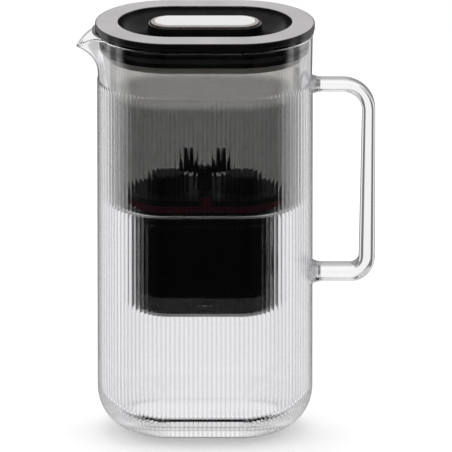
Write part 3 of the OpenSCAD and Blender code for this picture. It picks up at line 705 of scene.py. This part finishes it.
class PITCHER_OT_glass_handle(bpy.types.Operator):
    """Glass rod of rounded oblong section, bent into a grip and welded on at both ends"""

    bl_idname = "pitcher.glass_handle"
    bl_label = "Glass handle"

    # Steps of the mesh
    sides = 40
    bend_steps = 18
    weld_steps = 10
    bar_steps = 8
    # Power of the rod's oblong section, where one is round and nought is square
    squareness = 0.5
    # How far the rod reaches into the wall, and the unevenness of the melted weld
    root = 1.6 * MM
    melt_depth = 0.5 * MM
    melt_scale = 400

    def path(self, sizes):
        """Place, heading and distance from the nearer weld along the rod."""
        up = JUG_H - sizes.drop
        low = up - sizes.spread
        bar = HANDLE_HIGH.x - sizes.rod_thick / 2
        start = HALF_STRAIGHT + BODY_R - self.root
        weld = [sizes.weld * k / self.weld_steps for k in range(self.weld_steps + 1)]
        points = [(start + d, up, 0.0, d) for d in weld]
        for sign, radius, z in ((1, sizes.upper_bend, up), (-1, sizes.lower_bend, low)):
            for k in range(self.bend_steps + 1):
                part = k / self.bend_steps
                angle = math.pi / 2 * (1 - part if sign > 0 else -part)
                centre = (bar - radius, z - sign * radius)
                points.append((centre[0] + radius * math.cos(angle), centre[1] + radius * math.sin(angle),
                               angle - math.pi / 2, sizes.weld))
            if sign > 0:
                high_z, low_z = up - sizes.upper_bend, low + sizes.lower_bend
                points += [(bar, high_z + (low_z - high_z) * k / self.bar_steps, -math.pi / 2, sizes.weld)
                           for k in range(1, self.bar_steps)]
        points += [(start + sizes.lean + d, low, -math.pi, d) for d in reversed(weld)]
        return points, up

    def execute(self, context):
        sizes = context.scene.pitcher_handle
        bm = bmesh.new()
        layer = bm.verts.layers.int.new("column")
        circle = bmesh.ops.create_circle(bm, segments=self.sides, radius=1.0)["verts"]
        section = []
        for number, vert in enumerate(circle):
            vert[layer] = number
            section.append(tuple(math.copysign(abs(c) ** self.squareness, c) for c in vert.co.xy))
        path, up = self.path(sizes)

        def ring_place(point):
            x, z, heading, weld = point
            fall = (up - z) / sizes.spread
            grow = 1 + sizes.growth * fall
            flare = 1 + sizes.flare * (1 - weld / sizes.weld) ** 2

            def place(number):
                thick = section[number][0] * sizes.rod_thick / 2 * grow * flare
                wide = section[number][1] * sizes.rod_wide / 2 * grow * flare
                point = Vector((x - thick * math.sin(heading) - sizes.lean * fall, wide,
                                z + thick * math.cos(heading)))
                melt = self.melt_depth * (flare - 1) / max(sizes.flare, 1e-6)
                return point + melt * noise.noise_vector(point * self.melt_scale)
            return place

        first = ring_place(path[0])
        for vert in circle:
            vert.co = first(vert[layer])
        ring = bm.edges[:]
        bmesh.ops.edgeloop_fill(bm, edges=ring)
        for point in path[1:]:
            ring = extrude_ring(bm, ring, ring_place(point))
        bmesh.ops.edgeloop_fill(bm, edges=ring)
        bmesh.ops.recalc_face_normals(bm, faces=bm.faces[:])
        finish = context.scene.pitcher_finish
        # The handle's edge tint is painted shade on the rod where it is seen edge on
        glass = clear_glass("rod_glass", finish.glass, finish.rod_edge_shade, start=0.25, end=0.8)
        finish_piece(
            bm, "handle_glass", glass, "jug", "clear_glass", "glass_handle", sharp=60, weighted=False)
        return {"FINISHED"}


class PITCHER_OT_funnel(bpy.types.Operator):
    """Smoked hopper with its well, its collar, and the plug and silicone rings that close its mouth"""

    bl_idname = "pitcher.funnel"
    bl_label = "Funnel"

    # How far the change of tint at the neck reaches below and above it
    fade_below = 5 * MM
    fade_above = 1.5 * MM

    def execute(self, context):
        sizes = context.scene.pitcher_funnel
        finish = context.scene.pitcher_finish
        rim_z = top("hopper")
        rim_r = end_radius("hopper")
        skirt_z = foot("hopper_collar")
        well_z = foot("hopper")
        floor_z = JUG_H - sizes.depth
        side_r = rim_r - sizes.taper
        socket_r = sizes.well_r + sizes.socket_step
        socket_z = floor_z - sizes.socket_h
        neck_z = skirt_z - sizes.taper_h
        wall = sizes.wall
        floor_c = (side_r - sizes.rounding, floor_z + sizes.rounding)
        rows = [(rim_r, rim_z, 0), (rim_r, skirt_z, 0), (side_r, neck_z, sizes.neck_round)]
        rows += arc_rows(floor_c, sizes.rounding, 0, -90, 8)
        rows += [(socket_r, floor_z, 0), (socket_r, socket_z, sizes.edge), (sizes.well_r, socket_z, 0)]
        well_c = (sizes.well_r - sizes.well_round, well_z + sizes.well_round)
        rows += arc_rows(well_c, sizes.well_round, 0, -90, 10)
        rows += [(sizes.outlet, well_z, 0, 0.0), (sizes.outlet, well_z + wall, 0, 0.0)]
        rows += arc_rows(well_c, sizes.well_round - wall, -90, 0, 10)
        rows += [(sizes.well_r - wall, floor_z + wall, sizes.edge)]
        rows += arc_rows(floor_c, sizes.rounding - wall, -90, 0, 8)
        rows += [(side_r - wall, neck_z, sizes.neck_round), (rim_r - wall, skirt_z, 0),
                 (rim_r - wall, rim_z, 0)]
        tints = (finish.smoke_well, finish.smoke_low, finish.smoke_high)
        steps = ((socket_z, floor_z), (neck_z - self.fade_below, neck_z + self.fade_above))
        smoke = smoked_plastic(tints, steps, finish.smoke_edge)
        hopper = loft_oval(rows, closed=True)
        finish_piece(hopper, "smoked_hopper", smoke, "funnel", "smoked_plastic", "hopper")
        black = moulded("black_plastic", finish.black, low=0.08, high=0.14, depth=0.004 * MM)
        dress(black, "hopper_collar")
        plug = moulded("plug_plastic", finish.plug, low=0.3, high=0.45, depth=0.008 * MM)
        dress(plug, "lid_plug")
        silicone = moulded("dark_silicone", finish.silicone, low=0.5, high=0.65, depth=0.01 * MM)
        dress(silicone, "collar_gasket", "lid_gasket", "tub_seal")
        return {"FINISHED"}


class PITCHER_OT_cartridge(bpy.types.Operator):
    """Filter cartridge: cup, domed cap, silicone seal, screens and grains"""

    bl_idname = "pitcher.cartridge"
    bl_label = "Cartridge"

    def execute(self, context):
        finish = context.scene.pitcher_finish
        plastic = moulded("cartridge_plastic", finish.cartridge, low=0.32, high=0.5, depth=0.012 * MM)
        dress(plastic, "cartridge_cup", "cartridge_cap")
        seal = moulded("burgundy_silicone", finish.burgundy, low=0.45, high=0.6, depth=0.01 * MM)
        dress(seal, "cartridge_seal")
        felt = grain_bed("screen_felt", dark=(0.62, 0.62, 0.58), pale=(0.8, 0.8, 0.77), scale=1800)
        dress(felt, "inlet_screen", "outlet_screen")
        grains = grain_bed("media_grains", dark=(0.012, 0.012, 0.012), pale=(0.25, 0.19, 0.1), scale=900)
        dress(grains, "filter_media")
        return {"FINISHED"}


class PITCHER_OT_lid(bpy.types.Operator):
    """Black lid shell with its grip bowl and pedestal, and the satin ring let into it"""

    bl_idname = "pitcher.lid"
    bl_label = "Lid"

    def execute(self, context):
        sizes = context.scene.pitcher_lid
        finish = context.scene.pitcher_finish
        lid_r = end_radius("lid_shell")
        lid_z = top("hopper_collar") + sizes.seat_gap
        peak = top("lid_ring")
        ring_out = end_radius("lid_ring")
        edge_z = peak - sizes.ring_rise
        recess_r = ring_out - sizes.ring_w
        bowl_c = (recess_r - sizes.bowl_depth, peak)
        bowl_z = peak - sizes.bowl_depth
        pocket_r = end_radius("indicator_bezel") + sizes.press_gap
        pocket_z = foot("tub_cover") - sizes.seat_gap
        pedestal_r = pocket_r + sizes.pedestal_wall
        foot_r = pedestal_r + sizes.pedestal_draft
        pedestal_z = peak - sizes.pedestal_sunk
        under_r = sizes.bowl_depth + sizes.shell_t
        rebate_in = peak - sizes.ring_t - sizes.bond_gap
        rebate_out = edge_z - sizes.ring_t - sizes.bond_gap
        plate_z = rebate_out - sizes.shell_t
        under = -math.degrees(math.asin((peak - plate_z) / under_r))
        lip = -math.degrees(math.asin((peak - rebate_in) / sizes.bowl_depth))
        soft = sizes.fine_edge
        rows = [(foot_r, foot("lid_shell"), 0), (foot_r, bowl_z - sizes.shell_t, 0)]
        rows += arc_rows(bowl_c, under_r, -90, under, 20)
        rows += [(lid_r - sizes.rim_wall, plate_z, 0), (lid_r - sizes.rim_wall, lid_z, 0),
                 (lid_r, lid_z, sizes.edge), (lid_r, edge_z, sizes.edge),
                 (ring_out + sizes.bond_gap, edge_z, 0), (ring_out + sizes.bond_gap, rebate_out, 0)]
        rows += arc_rows(bowl_c, sizes.bowl_depth, lip, -90, 24)
        rows += [(foot_r, bowl_z, soft * 2), (pedestal_r, pedestal_z, soft), (pocket_r, pedestal_z, soft),
                 (pocket_r, pocket_z, 0)]
        shell = loft_oval(rows, closed=False, per_end=96)
        lid_black = moulded(
            "lid_black", finish.black, low=0.22, high=0.34, depth=0.006 * MM, Specular_IOR_Level=0.32)
        finish_piece(shell, "lid_moulding", lid_black, "lid", "black_plastic", "lid_shell")
        ring_in = recess_r + sizes.bond_gap
        rows = [(ring_in, peak - sizes.ring_t, 0), (ring_out, edge_z - sizes.ring_t, 0),
                (ring_out, edge_z, soft), (ring_in, peak, soft)]
        ring = loft_oval(rows, closed=True, per_end=96)
        satin = brushed_metal("satin_ring", finish.ring, low=0.3, high=0.42, depth=0.004 * MM)
        finish_piece(ring, "satin_lid_ring", satin, "lid", "satin_ring", "lid_ring")
        return {"FINISHED"}


class PITCHER_OT_indicator(bpy.types.Operator):
    """White press cap in its dark bezel, and the electronics under it"""

    bl_idname = "pitcher.indicator"
    bl_label = "Indicator"

    # Share of the press cap's radius at which its flat middle starts
    cap_middle = 0.5
    # Hidden pieces: finish, colour, least and greatest roughness, depth and scale of the grain,
    # share of metal, and nodes
    hidden = (
        ("tub_plastic", (0.03, 0.03, 0.03), 0.4, 0.55, 0.01 * MM, 1, 0, "indicator_tub", "tub_cover"),
        ("switch_plastic", (0.03, 0.03, 0.03), 0.4, 0.5, 0.006 * MM, 3, 0, "reset_switch"),
        ("board_laminate", (0.02, 0.12, 0.05), 0.2, 0.3, 0.004 * MM, 1, 0, "circuit_board"),
        ("lamp_plastic", (0.85, 0.85, 0.8), 0.1, 0.2, 0.002 * MM, 4, 0, "status_leds"),
        ("screw_steel", (0.6, 0.6, 0.6), 0.22, 0.35, 0.002 * MM, 2, 1, "cover_screws", "coin_cell"),
        ("contact_metal", (0.75, 0.58, 0.25), 0.25, 0.35, 0.002 * MM, 2, 1, "cell_contacts"),
    )

    def execute(self, context):
        sizes = context.scene.pitcher_lid
        finish = context.scene.pitcher_finish
        bezel_r = end_radius("indicator_bezel")
        bezel_top = top("indicator_bezel")
        bezel_in = sizes.pill_r + sizes.press_gap
        inner = bezel_r - sizes.bezel_wall
        rows = [(inner, foot("indicator_bezel"), 0), (bezel_r, foot("indicator_bezel"), 0),
                (bezel_r, bezel_top, sizes.bezel_round), (bezel_in, bezel_top, sizes.bezel_edge),
                (bezel_in, bezel_top - sizes.bezel_lip, 0), (inner, bezel_top - sizes.bezel_lip, 0)]
        bezel = loft_oval(rows, closed=True)
        dark = brushed_metal("bezel_metal", finish.bezel, low=0.22, high=0.32, depth=0.002 * MM)
        finish_piece(bezel, "bezel_ring", dark, "indicator", "bezel_metal", "indicator_bezel")
        cap_z = top("indicator_cap")
        flange_top = bezel_top - sizes.bezel_lip - sizes.seat_gap
        flange_r = end_radius("indicator_cap")
        rows = [(flange_r, flange_top - sizes.flange_t, 0), (flange_r, flange_top, 0),
                (sizes.pill_r, flange_top, 0), (sizes.pill_r, cap_z, sizes.pill_round),
                (sizes.pill_r * self.cap_middle, cap_z, 0)]
        cap = loft_oval(rows, closed=False)
        white = moulded(
            "white_cap", finish.cap, low=0.28, high=0.36, depth=0.004 * MM,
            Subsurface_Weight=0.1, Subsurface_Radius=(1.0, 1.0, 1.0), Subsurface_Scale=1 * MM)
        finish_piece(cap, "press_cap_white", white, "press_cap", "white_cap", "indicator_cap")
        for name, base, low, high, depth, scale, metal, *nodes in self.hidden:
            dress(moulded(name, base, low, high, depth, scale, Metallic=metal), *nodes)
        return {"FINISHED"}


class PITCHER_OT_stage(bpy.types.Operator):
    """Pale floor, soft studio light, and the camera at the photograph's angle"""

    bl_idname = "pitcher.stage"
    bl_label = "Studio"

    # Name, place, aim, size and power of each lamp, in metres and watts
    lamps = (
        ("top_lamp", (0.0, 0.35, 1.3), (0, 0, 0.25), (1.0, 0.8), 5),
        ("left_lamp", (-1.1, -0.25, 0.75), (0, 0, 0.15), (0.9, 1.3), 4),
        ("right_lamp", (1.1, -0.25, 0.75), (0, 0, 0.15), (0.9, 1.3), 4),
    )
    # Light bounces that the nested walls need
    bounces = 24
    # Own glow and paper colour of the floor, and its gap under the base
    floor_glow = 0.34
    floor_paper = (0.75, 0.75, 0.75, 1.0)
    floor_gap = 0.2 * MM
    # Surround: level that lights the object
    plain_level = 0.72
    # Dark flags beside each axis: soft edges as angles from it, and darkness
    flag_near = (math.radians(5), math.radians(9))
    flag_far = (math.radians(20), math.radians(25))
    flag_dark = 0.38
    # Darkness added to the flags in a low band, for rays through one wall of glass
    low_dark = 0.42
    low_foot = (-0.5, -0.42)
    low_top = (-0.2, -0.12)
    # Grey ceiling: soft edge and darkness
    ceiling_edge = (0.45, 0.6)
    ceiling_dark = 0.2
    # What mirrors see: dark in front of the object, bright beside it, greyer low behind it
    front_edge = (-0.25, 0.1)
    front_level = 0.02
    side_level = 1.3
    back_edge = (0.4, 0.8)
    back_level = 0.6
    # Heights above which mirrors see the plain white of the surround
    front_top = (0.05, 0.3)
    back_top = (-0.1, 0.25)
    # Share of the flags alone in second and later reflections
    again_share = 0.6

    def floor(self, stage):
        """Round pale floor that keeps the contact shadow."""
        bm = bmesh.new()
        bmesh.ops.create_circle(bm, cap_ends=True, segments=96, radius=stage.floor_radius)
        bmesh.ops.translate(bm, verts=bm.verts[:], vec=(0, 0, JUG_LOW.z - self.floor_gap))
        mesh = bpy.data.meshes.new("floor")
        bm.to_mesh(mesh)
        bm.free()
        piece = add_object("floor", mesh)
        material = bpy.data.materials.new("pale_floor")
        material.use_nodes = True
        tree = material.node_tree
        tree.nodes.clear()
        glow = add_node(tree, "ShaderNodeEmission", Strength=self.floor_glow)
        paper = add_node(tree, "ShaderNodeBsdfDiffuse", Color=self.floor_paper)
        both = add_node(tree, "ShaderNodeAddShader", [(glow.outputs[0], 0), (paper.outputs[0], 1)])
        add_node(tree, "ShaderNodeOutputMaterial", [(both.outputs[0], "Surface")])
        mesh.materials.append(material)
        piece.visible_glossy = False
        piece.visible_transmission = False

    def world(self):
        """White surround with soft dark flags that only reflections and refractions see."""
        world = bpy.data.worlds.new("studio")
        bpy.context.scene.world = world
        world.use_nodes = True
        tree = world.node_tree
        back = tree.nodes["Background"]
        back.inputs["Color"].default_value = (1.0, 1.0, 1.0, 1.0)
        rays = tree.nodes.new("ShaderNodeLightPath").outputs
        heading = add_node(tree, "ShaderNodeTexCoord").outputs["Generated"]
        axes = add_node(tree, "ShaderNodeSeparateXYZ", [(heading, "Vector")]).outputs

        def pick(base, other, mask):
            return maths(tree, "MULTIPLY_ADD", maths(tree, "SUBTRACT", other, base), mask, base)

        def between(value, near, far):
            return maths(tree, "MULTIPLY", ramp(tree, value, *near), ramp(tree, value, *far, 1.0, 0.0))

        angle = maths(tree, "ARCTAN2", axes[0], axes[1])
        flag = between(maths(tree, "PINGPONG", angle, math.pi / 4), self.flag_near, self.flag_far)
        single = ramp(tree, rays["Transmission Depth"], 2.0, 3.0, 1.0, 0.0, smooth=False)
        low_band = maths(tree, "MULTIPLY", single, between(axes[2], self.low_foot, self.low_top))
        strength = maths(tree, "MULTIPLY_ADD", low_band, self.low_dark, self.flag_dark)
        ceiling = ramp(tree, axes[2], *self.ceiling_edge, 0.0, self.ceiling_dark)
        dark = maths(tree, "MAXIMUM", maths(tree, "MULTIPLY", flag, strength), ceiling)
        seen = maths(tree, "SUBTRACT", 1.0, dark)
        front = ramp(tree, axes[1], *self.front_edge, self.front_level, self.side_level)
        front = maths(tree, "MAXIMUM", front, ramp(tree, axes[2], *self.front_top))
        behind = ramp(tree, axes[1], *self.back_edge, self.side_level, self.back_level)
        behind = pick(behind, 1.0, ramp(tree, axes[2], *self.back_top))
        mirrored = maths(tree, "MULTIPLY", maths(tree, "MINIMUM", front, behind), seen)
        bounced = maths(tree, "MINIMUM", rays["Glossy Depth"], 1.0)
        again = ramp(tree, rays["Glossy Depth"], 1.0, 2.0, 0.0, self.again_share, smooth=False)
        value = pick(self.plain_level, seen, rays["Is Transmission Ray"])
        value = pick(value, pick(mirrored, seen, again), bounced)
        value = pick(value, 1.0, rays["Is Camera Ray"])
        tree.links.new(value, back.inputs["Strength"])

    def lamp(self, name, place, aim, size, power):
        """Soft rectangular lamp that lights the object and shows in no glass or metal."""
        data = bpy.data.lights.new(name, "AREA")
        data.shape = "RECTANGLE"
        data.size, data.size_y = size
        data.energy = power
        lamp = add_object(name, data)
        lamp.location = place
        lamp.rotation_mode = "QUATERNION"
        lamp.rotation_quaternion = (Vector(aim) - Vector(place)).to_track_quat("-Z", "Y")
        lamp.visible_camera = False
        lamp.visible_transmission = False
        lamp.visible_glossy = False

    def camera(self, stage):
        """Long lens at the photograph's height."""
        data = bpy.data.cameras.new("camera")
        data.sensor_width = 36.0
        data.lens = data.sensor_width * stage.distance / stage.view_width
        data.clip_end = 5 * stage.distance
        camera = add_object("camera", data)
        back = Vector((0, -math.cos(stage.elevation), math.sin(stage.elevation)))
        camera.location = Vector(stage.aim) + back * stage.distance
        camera.rotation_mode = "QUATERNION"
        camera.rotation_quaternion = (-back).to_track_quat("-Z", "Y")
        bpy.context.scene.camera = camera

    def execute(self, context):
        stage = context.scene.pitcher_stage
        self.floor(stage)
        self.world()
        for settings in self.lamps:
            self.lamp(*settings)
        self.camera(stage)
        scene = context.scene
        scene.view_settings.view_transform = "Standard"
        scene.cycles.max_bounces = self.bounces
        scene.cycles.transmission_bounces = self.bounces
        scene.cycles.glossy_bounces = self.bounces
        return {"FINISHED"}


class PITCHER_PT_panel(bpy.types.Panel):
    """Lists the steps that build the pitcher's looks"""

    bl_label = "Pitcher"
    bl_idname = "PITCHER_PT_panel"
    bl_space_type = "VIEW_3D"
    bl_region_type = "UI"
    bl_category = "Pitcher"

    def draw(self, context):
        for step in STEPS:
            self.layout.operator(step.bl_idname)


STEPS = (PITCHER_OT_stage, PITCHER_OT_glass_jug, PITCHER_OT_glass_handle, PITCHER_OT_funnel,
         PITCHER_OT_cartridge, PITCHER_OT_lid, PITCHER_OT_indicator)
GROUPS = {"pitcher_jug": JugSizes, "pitcher_handle": HandleSizes, "pitcher_funnel": FunnelSizes,
          "pitcher_lid": LidSizes, "pitcher_finish": Finishes, "pitcher_stage": StageSizes}


def register():
    """Registers the settings, the steps and the panel."""
    for name, group in GROUPS.items():
        bpy.utils.register_class(group)
        setattr(bpy.types.Scene, name, bpy.props.PointerProperty(type=group))
    for step in (*STEPS, PITCHER_PT_panel):
        bpy.utils.register_class(step)


def unregister():
    """Takes back what register added."""
    for step in (PITCHER_PT_panel, *reversed(STEPS)):
        bpy.utils.unregister_class(step)
    for name, group in GROUPS.items():
        delattr(bpy.types.Scene, name)
        bpy.utils.unregister_class(group)


def main():
    """Builds every piece in order."""
    register()
    bpy.ops.pitcher.stage()
    bpy.ops.pitcher.glass_jug()
    bpy.ops.pitcher.glass_handle()
    bpy.ops.pitcher.funnel()
    bpy.ops.pitcher.cartridge()
    bpy.ops.pitcher.lid()
    bpy.ops.pitcher.indicator()


if __name__ == "__main__":
    main()
